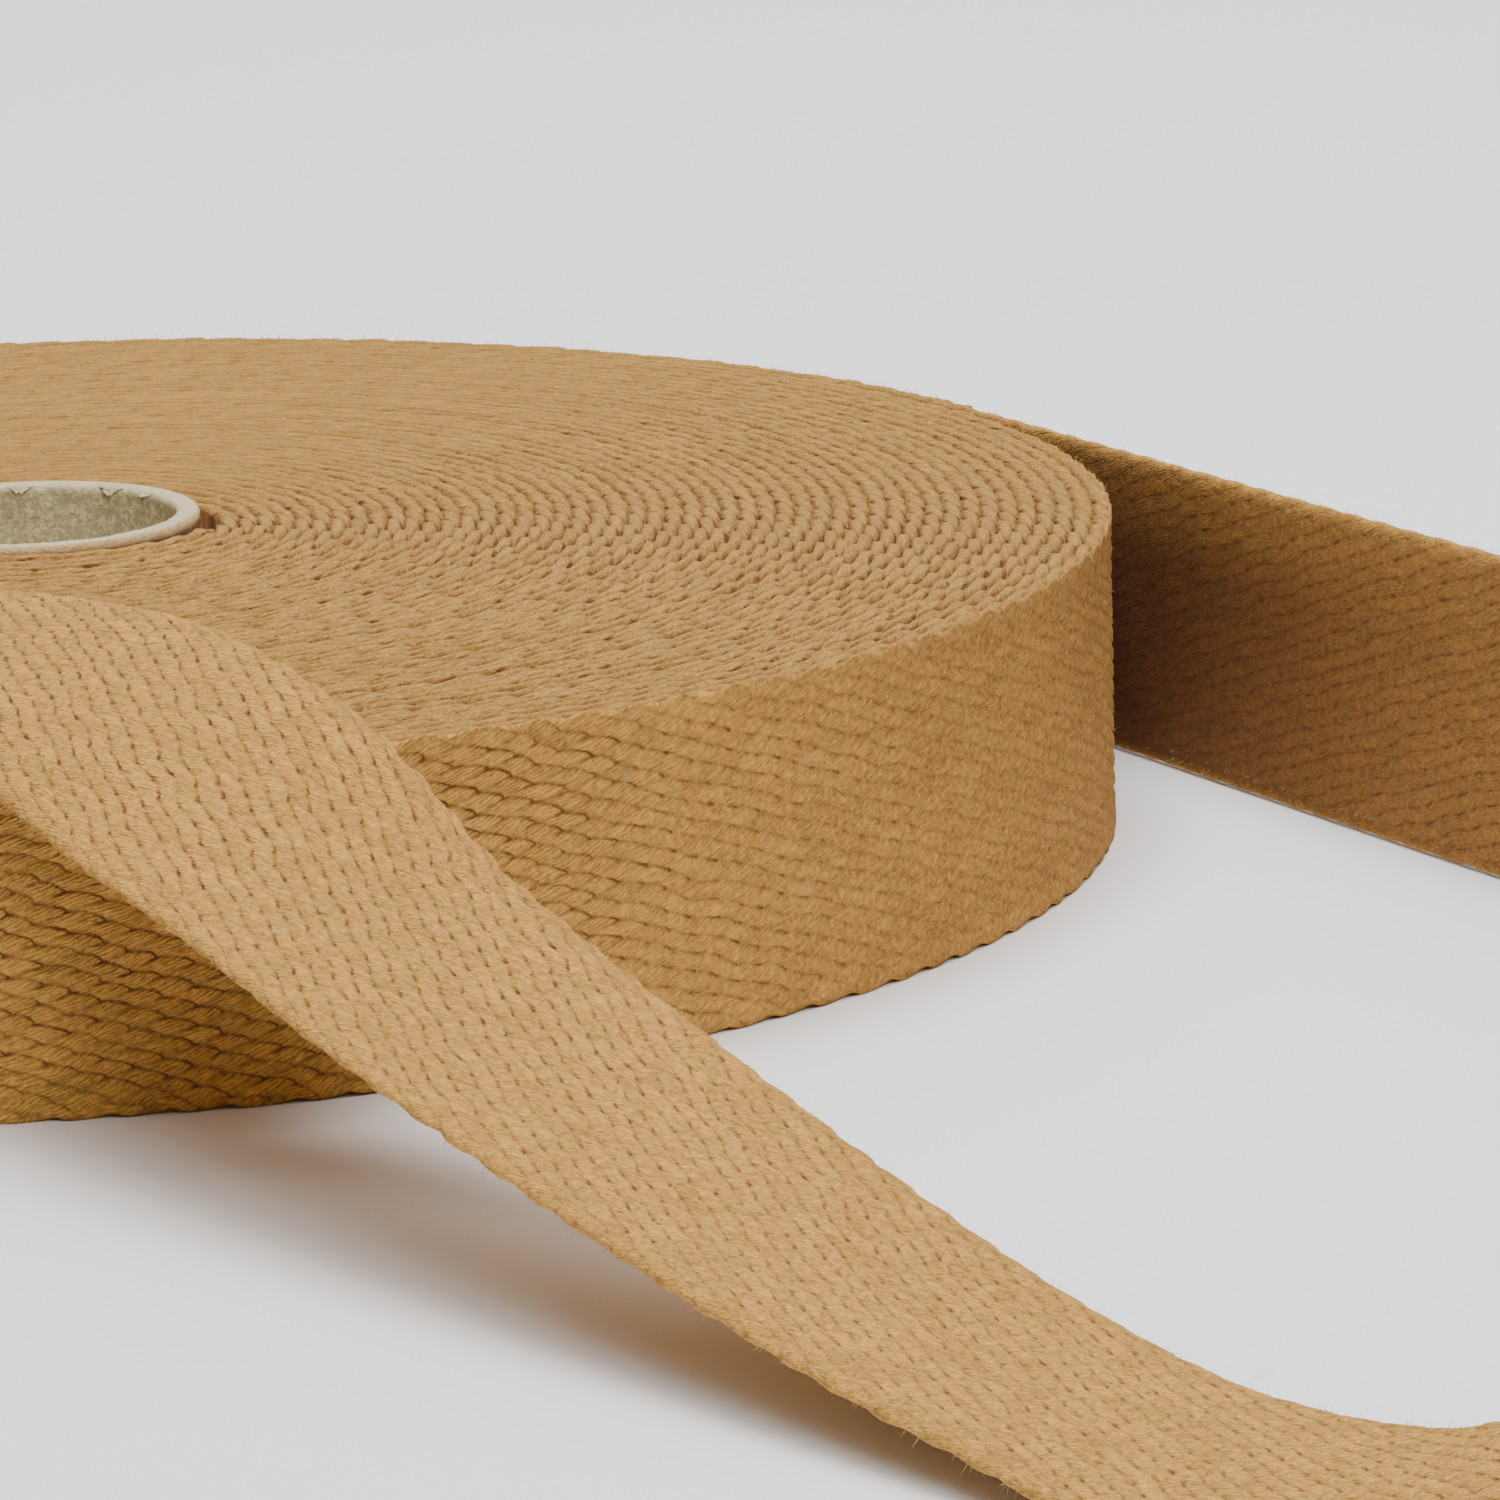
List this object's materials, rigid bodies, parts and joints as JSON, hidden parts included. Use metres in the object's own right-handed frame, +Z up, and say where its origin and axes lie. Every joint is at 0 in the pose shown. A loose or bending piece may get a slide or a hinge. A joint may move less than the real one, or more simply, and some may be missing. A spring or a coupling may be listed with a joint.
{
  "type": "roll of cotton webbing",
  "caption": "Flat-lying roll of heavy woven cotton webbing on a cardboard core, with its loose end turned round, twisted and laid over the top.",
  "frame": {"origin": "centre of the box's underside, on the surface that the roll lies on", "axes": "+Z up along the roll's axis; -Y towards the viewer, where the loose end crosses the rim; +X to the side where it leaves the roll"},
  "size_m": [0.413, 0.4934, 0.0498],
  "materials": {
    "cotton": "matt undyed tan cotton, coarse warp-faced weave",
    "cardboard": "matt grey-tan board, fuzzy where it was cut"
  },
  "bodies": {
    "root": {"core": "cardboard", "wound_roll": "cotton", "loose_end": "cotton"}
  },
  "joints": []
}
